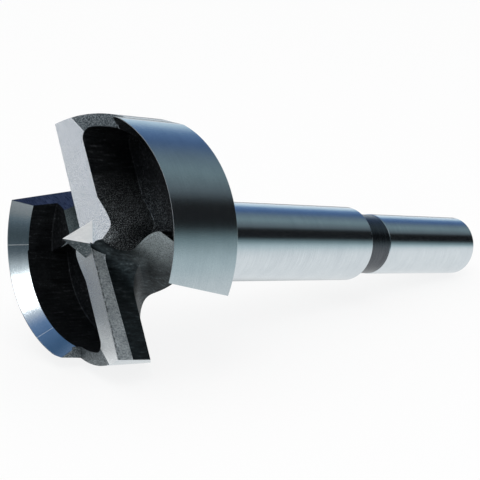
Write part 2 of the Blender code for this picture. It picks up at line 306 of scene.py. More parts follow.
grindMarks.links.new(fine, groupOut.inputs["Marks"])
grindMarks.links.new(broad, groupOut.inputs["Patches"])

# the pitted skin that forging leaves
forgeSkin, groupIn, groupOut = newGroup("forgeSkin", [
    ("Grain", "NodeSocketFloat", 1.6), ("Streaks", "NodeSocketFloat", 0.5)], [
    ("Height", "NodeSocketFloat"), ("Sand", "NodeSocketFloat"), ("Patches", "NodeSocketFloat")])
place = addNode(forgeSkin, "ShaderNodeGroup", {"node_tree": bitPlace})
grain = addNode(forgeSkin, "ShaderNodeTexNoise", None, {"Detail": 6.0, "Roughness": 0.7},
                {"Vector": place.outputs["Place"], "Scale": groupIn.outputs["Grain"]})
sand = addNoise(forgeSkin, place.outputs["Place"], 7.0, 2.0, 0.6)
squeezed = addNode(forgeSkin, "ShaderNodeVectorMath", {"operation": "MULTIPLY"}, {1: (2.6, 2.6, 0.35)},
                   {0: place.outputs["Place"]})
streaks = addNoise(forgeSkin, squeezed.outputs[0], 1.0, 4.0, 0.6)
mixed = addNode(forgeSkin, "ShaderNodeMix", {"data_type": "FLOAT"},
                links={"Factor": groupIn.outputs["Streaks"], 2: grain.outputs["Fac"], 3: streaks})
broad = addNoise(forgeSkin, place.outputs["Place"], 0.28, 3.0, 0.55)
forgeSkin.links.new(mixed.outputs[0], groupOut.inputs["Height"])
forgeSkin.links.new(sand, groupOut.inputs["Sand"])
forgeSkin.links.new(broad, groupOut.inputs["Patches"])
print("effects ready")


# the finishes: what all of a kind share, and then each one's own look
lipTurn = math.radians(-head["lipAngle"])
turnedKind = {"tonesAt": (0.3, 0.7), "patchTones": [(0.3, (0.8, 0.82, 0.84)), (0.7, (1, 1, 1))],
              "roughBetween": (0.25, 0.75), "bumpDepth": 0.00004}
groundKind = {"tonesAt": (0.32, 0.68), "patchTones": [(0.35, (0.45, 0.48, 0.5)), (0.62, (1, 1, 1))],
              "roughBetween": (0.3, 0.7), "bumpDepth": 0.00005}
forgedKind = {"tonesAt": (0.36, 0.56, 0.7), "patchTones": [(0.38, (0.35, 0.35, 0.38)), (0.62, (1, 1, 1))],
              "roughBetween": (0.35, 0.7), "bumpDepth": 0.0001}


def newFinish(name, metallic=1.0):
    finish = bpy.data.materials.new(name)
    finish.use_nodes = True
    shader = finish.node_tree.nodes["Principled BSDF"]
    shader.inputs["Metallic"].default_value = metallic
    return finish, finish.node_tree, shader


def addTones(tree, kind, look, noise, patches):
    # from dark to light along the noise, with broad patches over it
    tones = [look[tone] for tone in ("dark", "middle", "light") if tone in look]
    colour = addRamp(tree, noise, list(zip(kind["tonesAt"], tones)))
    patches = addRamp(tree, patches, kind["patchTones"])
    return addNode(tree, "ShaderNodeMix", {"data_type": "RGBA", "blend_type": "MULTIPLY"},
                   {"Factor": look["patches"]}, {6: colour, 7: patches}).outputs[2]


def addSurface(tree, shader, kind, look, noise, height):
    roughness = addRange(tree, noise, *kind["roughBetween"], *look["roughness"])
    tree.links.new(roughness, shader.inputs["Roughness"])
    bump = addNode(tree, "ShaderNodeBump", None, {"Strength": look["bump"], "Distance": kind["bumpDepth"]},
                   {"Height": height})
    tree.links.new(bump.outputs["Normal"], shader.inputs["Normal"])


def addPassGlints(tree, shader, colour, passGlints):
    # painted highlights: short pale lines across the spur at the boundaries between grinding passes, where the
    # facets catch the light
    place = addNode(tree, "ShaderNodeGroup", {"node_tree": bitPlace})
    glinting = None
    for degrees in passGlints["at"]:
        offset = addMath(tree, "SUBTRACT", place.outputs["Around"], math.radians(degrees))
        mark = addRange(tree, addMath(tree, "ABSOLUTE", offset), *passGlints["fadesBetween"], 1.0, 0.0)
        glinting = mark if glinting is None else addMath(tree, "MAXIMUM", mark, glinting)
    dulled = addRange(tree, glinting, 0.0, 1.0, 1.0, passGlints["metallic"])
    tree.links.new(dulled, shader.inputs["Metallic"])
    return mixColours(tree, glinting, colour, passGlints["colour"])


def addNicks(tree, colour, nicks):
    # a broken dark line where the lip was stoned
    place = addNode(tree, "ShaderNodeGroup", {"node_tree": bitPlace})
    below = addRange(tree, place.outputs["Along"], nicks["low"], nicks["low"] + nicks["soft"], 0.0, 1.0)
    above = addRange(tree, place.outputs["Along"], nicks["high"] - nicks["soft"], nicks["high"], 1.0, 0.0)
    broken = addNoise(tree, place.outputs["Place"], nicks["scale"], 2.0, 0.5)
    broken = addRange(tree, broken, *nicks["brokenBetween"], 0.0, nicks["strength"])
    line = addMath(tree, "MULTIPLY", addMath(tree, "MULTIPLY", below, above), broken)
    return mixColours(tree, line, colour, nicks["colour"])


def addGlintGrains(tree, colour, look, sand):
    # painted highlights: pale fine grains over the black, standing in for the sparkle where the pitted skin
    # catches the light, placed by distance from the lips, radius and height
    place = addNode(tree, "ShaderNodeGroup", {"node_tree": bitPlace})
    fromLips = addNode(tree, "ShaderNodeVectorMath", {"operation": "DOT_PRODUCT"},
                       {1: (math.sin(lipTurn), math.cos(lipTurn), 0.0)}, {0: place.outputs["Place"]})
    fromLips = addMath(tree, "ABSOLUTE", fromLips.outputs["Value"])
    ahead = addRange(tree, fromLips, *look["glintAhead"], 0.0, 1.0)
    inward = addRange(tree, place.outputs["Radius"], *look["glintRadius"], 0.0, 1.0)
    inward = addMath(tree, "MULTIPLY", inward, ahead)
    upward = addRange(tree, place.outputs["Along"], *look["glintHeight"], 0.0, 1.0)
    outward = addRange(tree, place.outputs["Radius"], *look["glintOutside"], 1.0, 0.0)
    upward = addMath(tree, "MULTIPLY", upward, outward)
    grains = addRange(tree, sand, *look["grains"], 0.0, 1.0)
    shown = addMath(tree, "MULTIPLY", addMath(tree, "MULTIPLY", inward, upward), grains)
    return mixColours(tree, shown, colour, look["glintTone"])


def turnedSteel(name, look):
    finish, tree, shader = newFinish(name)
    lines = addNode(tree, "ShaderNodeGroup", {"node_tree": turnedLines},
                    {"Lines per mm": look["linesPerMm"], "Waver": look["waver"], "Speckle": look["speckle"]})
    colour = addTones(tree, turnedKind, look, lines.outputs["Lines"], lines.outputs["Patches"])
    if "passGlints" in look:
        colour = addPassGlints(tree, shader, colour, look["passGlints"])
    tree.links.new(colour, shader.inputs["Base Color"])
    addSurface(tree, shader, turnedKind, look, lines.outputs["Lines"], lines.outputs["Lines"])
    return finish


def groundSteel(name, look):
    finish, tree, shader = newFinish(name, look["metallic"])
    marks = addNode(tree, "ShaderNodeGroup", {"node_tree": grindMarks},
                    {"Turn": look["turn"], "Stretch": look["stretch"]})
    colour = addTones(tree, groundKind, look, marks.outputs["Marks"], marks.outputs["Patches"])
    if "nicks" in look:
        colour = addNicks(tree, colour, look["nicks"])
    tree.links.new(colour, shader.inputs["Base Color"])
    addSurface(tree, shader, groundKind, look, marks.outputs["Marks"], marks.outputs["Marks"])
    return finish


def forgedSteel(name, look):
    finish, tree, shader = newFinish(name, look["metallic"])
    skin = addNode(tree, "ShaderNodeGroup", {"node_tree": forgeSkin},
                   {"Grain": look["grain"], "Streaks": look["streaks"]})
    colour = addTones(tree, forgedKind, look, skin.outputs["Height"], skin.outputs["Patches"])
    # the pale grains are painted highlights, not worn-through black
    tree.links.new(addGlintGrains(tree, colour, look, skin.outputs["Sand"]), shader.inputs["Base Color"])
    height = addMath(tree, "MULTIPLY_ADD", skin.outputs["Sand"], look["sand"], skin.outputs["Height"])
    addSurface(tree, shader, forgedKind, look, skin.outputs["Height"], height)
    return finish


rimSteel = turnedSteel("rimSteel", {
    "linesPerMm": 9.0, "waver": 1.2, "speckle": 0.62, "dark": (0.52, 0.57, 0.59), "light": (0.70, 0.74, 0.76),
    "roughness": (0.13, 0.22), "bump": 0.25, "patches": 0.35})
shankSteel = turnedSteel("shankSteel", {
    "linesPerMm": 11.0, "waver": 1.0, "speckle": 0.3, "dark": (0.60, 0.65, 0.68), "light": (0.78, 0.82, 0.84),
    "roughness": (0.12, 0.2), "bump": 0.2, "patches": 0.35})
bandSteel = turnedSteel("bandSteel", {
    "linesPerMm": 5.0, "waver": 1.0, "speckle": 0.3, "dark": (0.06, 0.065, 0.075), "light": (0.13, 0.14, 0.15),
    "roughness": (0.22, 0.34), "bump": 0.3, "patches": 0.35})
spurSteel = turnedSteel("spurSteel", {
    "linesPerMm": 7.0, "waver": 1.5, "speckle": 0.7, "dark": (0.62, 0.66, 0.69), "light": (0.78, 0.82, 0.85),
    "roughness": (0.12, 0.18), "bump": 0.15, "patches": 0.35,
    # the pale lines across the spur are painted highlights at the boundaries between grinding passes
    "passGlints": {"at": (-176.5, -151.0, -126.0),     # degrees around the bit
                  "fadesBetween": (0.001, 0.005), "colour": (0.8, 0.84, 0.86), "metallic": 0.7}})
reliefSteel = groundSteel("reliefSteel", {
    "metallic": 1.0, "turn": (0.0, 0.0, lipTurn), "stretch": (5.5, 4.5, 4.5), "dark": (0.74, 0.77, 0.78),
    "light": (0.95, 0.96, 0.97), "roughness": (0.13, 0.26), "bump": 0.6, "patches": 0.1})
pointSteel = groundSteel("pointSteel", {
    "metallic": 0.25, "turn": (0.0, 0.0, lipTurn), "stretch": (3.0, 3.0, 1.0), "dark": (0.86, 0.88, 0.89),
    "light": (0.97, 0.98, 0.98), "roughness": (0.35, 0.5), "bump": 0.2, "patches": 0.1})
rakeSteel = groundSteel("rakeSteel", {
    "metallic": 0.45, "turn": (0.0, 0.0, lipTurn), "stretch": (4.5, 2.5, 2.5), "dark": (0.12, 0.14, 0.155),
    "light": (0.58, 0.63, 0.65), "roughness": (0.35, 0.5), "bump": 0.9, "patches": 0.4,
    "nicks": {"low": -0.42, "high": -0.12, "soft": 0.08, "scale": 1.7, "brokenBetween": (0.44, 0.56),
              "strength": 0.85, "colour": (0.02, 0.025, 0.03)}})
pocketBlack = forgedSteel("pocketBlack", {
    "metallic": 0.75, "grain": 2.6, "streaks": 0.55, "dark": (0.005, 0.006, 0.007),
    "middle": (0.028, 0.031, 0.034), "light": (0.15, 0.165, 0.175), "roughness": (0.5, 0.36), "bump": 0.8, "patches": 0.6, "sand": 0.5,
    "glintTone": (0.55, 0.6, 0.62), "glintRadius": (9.5, 4.0), "glintHeight": (-14.0, -7.0),
    "glintOutside": (20.0, 21.0), "glintAhead": (-1.0, 0.0), "grains": (0.50, 0.66)})
gulletBlack = forgedSteel("gulletBlack", {
    "metallic": 0.8, "grain": 1.8, "streaks": 0.75, "dark": (0.009, 0.013, 0.015),
    "middle": (0.032, 0.043, 0.047), "light": (0.12, 0.145, 0.155), "roughness": (0.42, 0.3), "bump": 0.5, "patches": 0.5, "sand": 0.4,
    "glintTone": (0.66, 0.75, 0.77), "glintRadius": (3.2, 6.6), "glintHeight": (-10.5, -4.0),
    "glintOutside": (12.0, 15.0), "glintAhead": (1.6, 5.6), "grains": (0.25, 0.6)})
rimForged = forgedSteel("rimForged", {
    "metallic": 0.75, "grain": 3.0, "streaks": 0.1, "dark": (0.03, 0.04, 0.045), "middle": (0.12, 0.145, 0.155),
    "light": (0.42, 0.46, 0.48), "roughness": (0.5, 0.38), "bump": 0.9, "patches": 0.4, "sand": 0.8,
    "glintTone": (0.42, 0.46, 0.48), "glintRadius": (13.0, 17.0), "glintHeight": (-5.0, -1.0),
    "glintOutside": (20.0, 21.0), "glintAhead": (-1.0, 0.0), "grains": (0.5, 0.62)})
spurEndSteel = groundSteel("spurEndSteel", {
    "metallic": 1.0, "turn": (0.0, 0.0, lipTurn), "stretch": (1.0, 1.0, 5.0), "dark": (0.07, 0.06, 0.09),
    "light": (0.22, 0.20, 0.26), "roughness": (0.24, 0.36), "bump": 0.4, "patches": 0.5})
print("finishes ready")

# the turned blank: a circle, pulled along the axis and resized at each ring
blankShape = {
    "facets": 384,
    "filletSteps": 14,
    "neckRadius": 6.0, "hubFillet": 3.0, "neckChamfer": 0.9,
    "bandRadius": 4.9, "bandLength": 5.1,
    "shankRadius": 4.985, "shankLength": 24.7, "shankLead": 0.15, "shankChamfer": 0.7,
    "end": -85.98,
}


def blankProfile(shape):
    # radius, height and finish of each ring, from the front face down
    shankTop = shape["end"] + shape["shankLength"]
    bandTop = shankTop + shape["bandLength"]
    back = -head["height"]
    rings = [(head["radius"], 0.0), (head["radius"], back + head["backChamfer"]),
             (head["radius"] - head["backChamfer"], back)]
    centre = (shape["neckRadius"] + shape["hubFillet"], back - shape["hubFillet"])
    for step in range(shape["filletSteps"] + 1):
        angle = math.radians(90 + 90 * step / shape["filletSteps"])
        rings.append((centre[0] + shape["hubFillet"] * math.cos(angle),
                      centre[1] + shape["hubFillet"] * math.sin(angle)))
    rings += [(shape["neckRadius"], bandTop + shape["neckChamfer"]), (shape["bandRadius"], bandTop),
              (shape["bandRadius"], shankTop), (shape["shankRadius"], shankTop - shape["shankLead"]),
              (shape["shankRadius"], shape["end"] + shape["shankChamfer"]),
              (shape["shankRadius"] - shape["shankChamfer"], shape["end"])]
    return rings, shankTop, bandTop


rings, shankTop, bandTop = blankProfile(blankShape)
startFresh()
bpy.ops.mesh.primitive_circle_add(vertices=blankShape["facets"], radius=rings[0][0], fill_type="NGON",
                                  location=(0, 0, rings[0][1]))
bit = bpy.context.object
bit.name = "bitSteel"
bpy.ops.object.transform_apply(location=True, rotation=False, scale=False)
bpy.ops.object.mode_set(mode="EDIT")
bpy.ops.mesh.select_mode(type="FACE")
bpy.ops.mesh.select_all(action="SELECT")
for (radiusBefore, heightBefore), (radiusNow, heightNow) in zip(rings, rings[1:]):
    bpy.ops.mesh.extrude_region_move(TRANSFORM_OT_translate={"value": (0, 0, heightNow - heightBefore)})
    if radiusNow != radiusBefore:
        grow = radiusNow / radiusBefore
        bpy.ops.transform.resize(value=(grow, grow, 1), center_override=(0, 0, heightNow))
bpy.ops.mesh.select_all(action="SELECT")
bpy.ops.mesh.normals_make_consistent(inside=False)
bpy.ops.object.mode_set(mode="OBJECT")

# the rim is drawn in behind each lip, and comes back out over a shoulder where the spur starts
headBottom = -head["height"] - slack
for vertex in bit.data.vertices:
    reach = vertex.co.xy.length
    if vertex.co.z < headBottom or reach < head["radius"] - 2 * head["backChamfer"]:
        continue
    for side in (0, 180):
        behind = (head["lipAngle"] + side - math.degrees(math.atan2(vertex.co.y, vertex.co.x))) % 360
        if not 0 < behind < head["camShoulder"]:
            continue
        drawnIn = head["camRelief"] * behind / head["spurStart"]
        if behind > head["camEnd"]:
            drawnIn *= (head["camShoulder"] - behind) / (head["camShoulder"] - head["camEnd"])
        newReach = reach - drawnIn
        fromFloor = head["lipAngle"] + 180 - behind - head["floorSide"]
        if abs(fromFloor) < head["floorSpan"]:
            toFloor = head["floorDistance"] / math.cos(math.radians(fromFloor))
            newReach = min(newReach, toFloor - (head["radius"] - reach))
        vertex.co.xy = vertex.co.xy * newReach / reach
        break

bit.data.materials.append(rimSteel)
paintFaces(bit, shankSteel, lambda place, normal: place.z < headBottom)
paintFaces(bit, bandSteel, lambda place, normal: shankTop - slack < place.z < bandTop + slack)
print("blank turned:", len(bit.data.polygons), "faces")

# The tools that shape a wing. In a wing's own frame X runs out along the lip and Y runs ahead of it,
# so its pocket lies at negative Y.
pocketShape = {
    "rimWall": 1.65, "depth": 9.2, "floorFillet": 2.6, "draft": 0.92, "draftCentre": (3.5, -8.5),
    "corner": 1.4, "wingWidth": 3.5, "reach": 4.3,
    "edge": ((-4.4, -11.2), (-3.8, -10.5), (-3.1, -10.15), (-2.85, -9.4), (-2.8, -7.8), (-3.1, -5.0),
             (-3.25, -3.2), (-2.6, -1.95), (-1.5, -1.8), (-0.9, -2.3), (-0.1, -3.5), (0.8, -4.0),
             (2.6, -3.7), (5.0, -2.95)),
    "arcSteps": 90, "cornerSteps": 16, "edgeSteps": 10, "floorSteps": 8,
    "channelStart": 3.2, "channelDepth": 6.4, "channelStep": 0.1, "channelFillet": 1.0, "webEnd": 10.1,
    "channelOverrun": 7.5, "channelSteps": 40,
}


def sinkHollow(name, outline, depth, fillet, shape):
    # mouth above the head, pushed down, drawn in by the draft, and rounded at the floor
    hollow = traceFace(name, outline)
    fall = head["clear"] + depth
    bpy.ops.mesh.extrude_region_move(TRANSFORM_OT_translate={"value": (0, 0, -fall)})
    draft = 1 - (1 - shape["draft"]) * fall / (head["clear"] + shape["depth"])
    bpy.ops.transform.resize(value=(draft, draft, 1), center_override=(*shape["draftCentre"], -depth))
    bpy.ops.mesh.region_to_loop()
    bpy.ops.mesh.bevel(offset=fillet, segments=shape["floorSteps"], affect="EDGES", clamp_overlap=True)
    return closeTool(hollow, pocketBlack)


def makePocket(shape):
    inside = head["radius"] - shape["rimWall"]
    flank = shape["wingWidth"] - head["lipLead"]
    cornerY = flank + shape["corner"]
    cornerX = math.sqrt((inside - shape["corner"]) ** 2 - cornerY ** 2)
    cornerTurn = math.degrees(math.atan2(cornerY, cornerX))
    farTurn = math.degrees(math.acos(-shape["reach"] / inside))
    top = head["clear"]
    outline = arcPoints((cornerX, -cornerY), shape["corner"], 90, -cornerTurn, shape["cornerSteps"], top)
    outline += arcPoints((0, 0), inside, -cornerTurn, -farTurn, shape["arcSteps"], top)[1:]
    outline += smoothThrough(shape["edge"], shape["edgeSteps"], top)
    return sinkHollow("pocketTool", outline, shape["depth"], shape["floorFillet"], shape)


def makeChannel(shape):
    inside = head["radius"] - shape["rimWall"] - shape["channelStep"]
    nearTurn = math.degrees(math.acos(-shape["channelStart"] / inside))
    farTurn = 180 - gulletShape["spurEnd"] + shape["channelOverrun"]
    outline = arcPoints((0, 0), inside, -nearTurn, -farTurn, shape["channelSteps"], head["clear"])
    outline.append((outline[-1][0], -shape["webEnd"], head["clear"]))
    outline.append((-shape["channelStart"], -shape["webEnd"], head["clear"]))
    return sinkHollow("channelTool", outline, shape["channelDepth"], shape["channelFillet"], shape)


gulletShape = {
    "rake": 8.0, "root": 0.4, "rootSlope": 0.55, "reach": 10.9, "wingThickness": 6.7, "underside": 1.1,
    "topFillet": 0.8, "fillet": 4.2, "farFillet": 3.6, "farTopFillet": 0.4, "filletSteps": 18, "farSteps": 12,
    "spurEnd": 50.0, "spurEndLean": 0.56, "spurEndSkew": 143.0, "rimOverlap": 0.01, "overcut": 1.0,
    "spurEndFrom": 7.9, "spurEndFacing": 0.97,     # which faces have the spur end's finish
}


def gulletRing(height, rakeSide, fillet, farFillet, shape):
    root = shape["root"] - shape["rootSlope"] * height
    farSide = shape["reach"] + math.tan(math.radians(shape["rake"])) * height
    outside = head["radius"] + head["clear"]
    end = math.radians(shape["spurEnd"] + shape["spurEndLean"] * height)
    skew = math.radians(shape["spurEndSkew"])
    corner = Vector((math.cos(end), math.sin(end))) * (head["radius"] + shape["rimOverlap"])
    inward = Vector((math.cos(skew), -math.sin(skew)))
    bend = corner + inward * (farSide - corner.y) / inward.y
    past = corner - inward * head["clear"]
    ring = [(outside, rakeSide, height)]
    ring += arcPoints((root + fillet, rakeSide + fillet), fillet, -90, -180, shape["filletSteps"], height)
    ring += arcPoints((root + farFillet, farSide - farFillet), farFillet, 180, 90, shape["farSteps"], height)
    ring += [(bend.x, bend.y, height), (past.x, past.y, height), (outside, past.y, height)]
    return ring


def makeGullet(shape):
    slope = math.tan(math.radians(shape["rake"]))
    waist = -shape["wingThickness"]
    back = -head["height"]
    below = back - blankShape["hubFillet"] - shape["overcut"]
    above = shape["overcut"]
    lead = head["lipLead"]
    waistSide = lead + slope * waist
    sides = [(below, waistSide - shape["underside"] * (waist - below), shape["fillet"], shape["farFillet"]),
             (back, waistSide - shape["underside"] * (waist - back), shape["fillet"], shape["farFillet"]),
             (waist, waistSide, shape["fillet"], shape["farTopFillet"]),
             (0.0, lead, shape["topFillet"], shape["farTopFillet"]),
             (above, lead + slope * above, shape["topFillet"], shape["farTopFillet"])]
    tool = solidFromRings("gulletTool", [gulletRing(*side, shape) for side in sides], gulletBlack)
    skew = math.radians(shape["spurEndSkew"])
    across = Vector((-math.sin(skew), -math.cos(skew), 0))
    facing, outside = shape["spurEndFacing"], shape["spurEndFrom"]
    paintFaces(tool, spurEndSteel, lambda place, normal: normal.dot(across) > facing and place.x > outside)
    return tool


reliefShape = {"angle": 16.0, "endLean": 1.0, "overlap": 0.15, "stepLean": 2.4, "stepTilt": 0.3, "above": 0.5,
               "lift": 8.0, "seam": (17.4, -2.03, 0.0), "seamSlope": 0.52}


def makeRelief(shape):
    # the outline of the relief face, laid on its slope, pulled straight up
    slope = math.tan(math.radians(shape["angle"]))
    lead = head["lipLead"]
    start = lead + shape["above"] / slope
    middle, outer = head["radius"] / 2, head["radius"] + head["clear"]
    foot = math.tan(math.radians(head["spurStart"] - shape["stepLean"]))
    plan = [(middle, start), (outer, start), (outer, -outer * foot), (middle, -middle * foot)]
    plan += [(-shape["endLean"] * middle * foot - shape["overlap"], -middle * foot),
             (shape["endLean"] * start - shape["overlap"], start)]
    tool = traceFace("reliefTool", [(x, y, slope * (y - lead)) for x, y in plan])
    bpy.ops.mesh.extrude_region_move(TRANSFORM_OT_translate={"value": (0, 0, shape["lift"])})
    # the side over the step leans back as it rises
    cage = bmesh.from_edit_mesh(tool.data)
    for vertex in cage.verts:
        vertex.select = vertex.select and vertex.co.y < -middle * foot + slack
    cage.select_flush_mode()
    bpy.ops.transform.translate(value=(0, -shape["stepTilt"] * shape["lift"], 0))
    # the ground face ends with the wing; past it the rim's top keeps its forged skin
    seam = Vector(shape["seam"])
    across = Vector((-shape["seamSlope"], 1, 0))
    bpy.ops.mesh.select_all(action="SELECT")
    bpy.ops.mesh.bisect(plane_co=seam, plane_no=across)
    closeTool(tool, reliefSteel)
    paintFaces(tool, rimForged, lambda place, normal: (place - seam).dot(across) < 0)
    return tool


spurShape = {"land": 0.1, "depth": 1.8, "runIn": 0.8, "steps": 96, "overrun": 15.0, "merge": 0.0001}


def makeSpurGrind(shape):
    # the section of the grind, spun around the axis from the step to past the spur's end
    slope = (pocketShape["rimWall"] - shape["land"]) / shape["depth"]
    edge = head["radius"] - shape["land"]
    inner = head["radius"] - pocketShape["rimWall"] - head["clear"]
    bottom = shape["depth"] + shape["runIn"]
    section = [(inner, -bottom), (edge - slope * bottom, -bottom),
               (edge + slope * head["clear"], head["clear"]), (inner, head["clear"])]
    first = -(head["spurStart"] - reliefShape["stepLean"] / 2)
    last = -(180 - gulletShape["spurEnd"] + shape["overrun"])
    toward = Vector((math.cos(math.radians(first)), math.sin(math.radians(first)), 0))
    tool = traceFace("spurTool", [tuple(toward * reach + Vector((0, 0, height))) for reach, height in section])
    bpy.ops.mesh.spin(steps=shape["steps"], angle=math.radians(first - last), center=(0, 0, 0), axis=(0, 0, 1),
                      dupli=False)
    bpy.ops.mesh.select_all(action="SELECT")
    bpy.ops.mesh.remove_doubles(threshold=shape["merge"])
    return closeTool(tool, spurSteel)


rakeGrind = {"angle": 8.9, "startTop": 1.1, "startLow": 2.5, "lowNear": -2.3, "lowFar": -3.25,
             "above": 1.0, "thickness": 2.0}


def makeRakeGrind(shape):
    # a second, slightly steeper grind just under the lip
    slope = math.tan(math.radians(shape["angle"]))
    outer = head["radius"] + head["clear"]
    top = shape["above"]
    outline = [(shape["startTop"], top), (outer, top),
               (outer, shape["lowFar"]), (shape["startLow"], shape["lowNear"])]
    tool = traceFace("rakeTool", [(x, head["lipLead"] + slope * z, z) for x, z in outline])
    bpy.ops.mesh.extrude_region_move(TRANSFORM_OT_translate={"value": (0, shape["thickness"], 0)})
    return closeTool(tool, rakeSteel)


pointShape = {"height": 3.98, "foot": -1.0, "lipCorner": (0.9, 0.64), "backCorner": (1.87, -1.34),
              "tipWidth": 0.012}


def makePoint(shape):
    # a four-cornered foot drawn up to the tip
    grow = (shape["height"] - shape["foot"]) / shape["height"]
    corners = [shape["lipCorner"], shape["backCorner"]]
    corners += [(-x, -y) for x, y in corners]
    rise = shape["height"] - shape["foot"]
    point = traceFace("centrePoint", [(x * grow, y * grow, shape["foot"]) for x, y in corners])
    bpy.ops.mesh.extrude_region_move(TRANSFORM_OT_translate={"value": (0, 0, rise)})
    bpy.ops.transform.resize(value=(shape["tipWidth"], shape["tipWidth"], 1),
                             center_override=(0, 0, shape["height"]))
    closeTool(point, rimForged)
    paintFaces(point, pointSteel, lambda place, normal: abs(normal.y) > abs(normal.x))
    return point


def placeOnWing(tool, side):
    # each wing gets its own copy, turned about the axis
    startFresh()
    tool.select_set(True)
    bpy.context.view_layer.objects.active = tool
    bpy.ops.object.duplicate()
    copy = bpy.context.object
    copy.rotation_euler = (0, 0, math.radians(head["lipAngle"] + side))
    bpy.ops.object.transform_apply(location=True, rotation=True, scale=False)
    return copy


def placeOnBothWings(tool):
    copies = [placeOnWing(tool, side) for side in (0, 180)]
    startFresh()
    for copy in copies:
        copy.select_set(True)
    bpy.context.view_layer.objects.active = copies[0]
    bpy.ops.object.join()
    return copies[0]


def cutWith(tool, operation="DIFFERENCE"):
    startFresh()
    bit.select_set(True)
    bpy.context.view_layer.objects.active = bit
    cut = bit.modifiers.new("cut", "BOOLEAN")
    cut.operation = operation
    cut.solver = "EXACT"
    cut.material_mode = "TRANSFER"
    cut.object = tool
    bpy.ops.object.modifier_apply(modifier=cut.name)
    bpy.data.objects.remove(tool)


pocketTool = makePocket(pocketShape)
channelTool = makeChannel(pocketShape)
spurTool = makeSpurGrind(spurShape)
reliefTool = makeRelief(reliefShape)
gulletTool = makeGullet(gulletShape)
rakeTool = makeRakeGrind(rakeGrind)
pointTool = makePoint(pointShape)
print("tools made")

for tool in (pocketTool, channelTool, spurTool):
    cutWith(placeOnBothWings(tool))
for side in (0, 180):
    cutWith(placeOnWing(reliefTool, side))
cutWith(placeOnWing(pointTool, 0), "UNION")
for tool in (gulletTool, rakeTool):
    cutWith(placeOnBothWings(tool))
for tool in (pocketTool, channelTool, spurTool, reliefTool, gulletTool, rakeTool, pointTool):
    bpy.data.objects.remove(tool)
print("bit cut:", len(bit.data.polygons), "faces")

# edges, normals, and laying the bit down
edgeLook = {"width": 0.035, "segments": 2, "angle": 28, "merge": 0.002,
            "crowdedHeight": -3.5, "crowdedRadius": 4.2}     # the edges around the point stay sharp
startFresh()
bit.select_set(True)
bpy.context.view_layer.objects.active = bit
bpy.ops.object.mode_set(mode="EDIT")
bpy.ops.mesh.select_all(action="SELECT")
bpy.ops.mesh.remove_doubles(threshold=edgeLook["merge"])
bpy.ops.mesh.dissolve_degenerate(threshold=edgeLook["merge"])
bpy.ops.mesh.select_mode(type="EDGE")
bpy.ops.mesh.select_all(action="DESELECT")
bpy.ops.mesh.edges_select_sharp(sharpness=math.radians(edgeLook["angle"]))
cage = bmesh.from_edit_mesh(bit.data)
for edge in cage.edges:
    middle = (edge.verts[0].co + edge.verts[1].co) / 2
    crowded = middle.z > edgeLook["crowdedHeight"] and middle.xy.length < edgeLook["crowdedRadius"]
    beside = [bit.material_slots[face.material_index].name for face in edge.link_faces]
    if crowded or "pocketBlack" in beside:
        edge.select = False
cage.select_flush_mode()
bmesh.update_edit_mesh(bit.data)
bpy.ops.mesh.bevel(offset=edgeLook["width"], segments=edgeLook["segments"], affect="EDGES", clamp_overlap=False)
bpy.ops.mesh.select_mode(type="FACE")
bpy.ops.object.mode_set(mode="OBJECT")
bpy.ops.object.shade_smooth_by_angle(angle=math.radians(edgeLook["angle"]))
weighted = bit.modifiers.new("evenShading", "WEIGHTED_NORMAL")
weighted.keep_sharp = True
bpy.ops.object.modifier_apply(modifier=weighted.name)

bit.matrix_world = lyingPose @ Matrix.Scale(millimetre, 4)
bpy.ops.object.transform_apply(location=True, rotation=True, scale=True)
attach(bit, "root")
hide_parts("forstner_bit")
print("bit finished:", len(bit.data.polygons), "faces")

# floor, room and camera
floorLook = {
    "size": 8.0, "height": -0.00002, "colour": (0.86, 0.86, 0.86), "glow": 0.8,
    "roughness": 0.9, "specular": 0.1,
    # painted shade in reflections: what the steel sees of it, from nearest to farthest in Y: grey, then bright,
    # and dark past the bit where the bit's shadow falls; before the tip it is darker too
    "seenAcross": [(0.0, (0.16, 0.27, 0.30)), (0.375, (0.28, 0.41, 0.45)), (0.6, (0.46, 0.58, 0.62)),
                   (0.7, (0.85, 0.88, 0.9)), (0.75, (0.95, 0.97, 0.98)), (0.79, (0.12, 0.14, 0.15)),
                   (1.0, (0.05, 0.06, 0.07))],
    "nearest": -0.30, "farthest": 0.10, "beforeTip": (-0.10, -0.06), "beforeTipShade": 0.25,
}
startFresh()
bpy.ops.mesh.primitive_plane_add(size=floorLook["size"], location=(0, 0, floorLook["height"]))
floor = bpy.context.object
floor.name = "paleFloor"
bpy.ops.object.transform_apply(location=True, rotation=False, scale=False)
floorPaper, tree, shader = newFinish("floorPaper", 0.0)
shader.inputs["Base Color"].default_value = (*floorLook["colour"], 1)
shader.inputs["Roughness"].default_value = floorLook["roughness"]
shader.inputs["Specular IOR Level"].default_value = floorLook["specular"]
output = tree.nodes["Material Output"]
path = addNode(tree, "ShaderNodeLightPath")
seen = addMath(tree, "MAXIMUM", path.outputs["Is Camera Ray"], path.outputs["Is Glossy Ray"])
seen = addMath(tree, "MAXIMUM", seen, path.outputs["Is Transmission Ray"])
amount = addMath(tree, "MULTIPLY", seen, floorLook["glow"])
coords = addNode(tree, "ShaderNodeTexCoord")
split = addNode(tree, "ShaderNodeSeparateXYZ", links={"Vector": coords.outputs["Object"]})
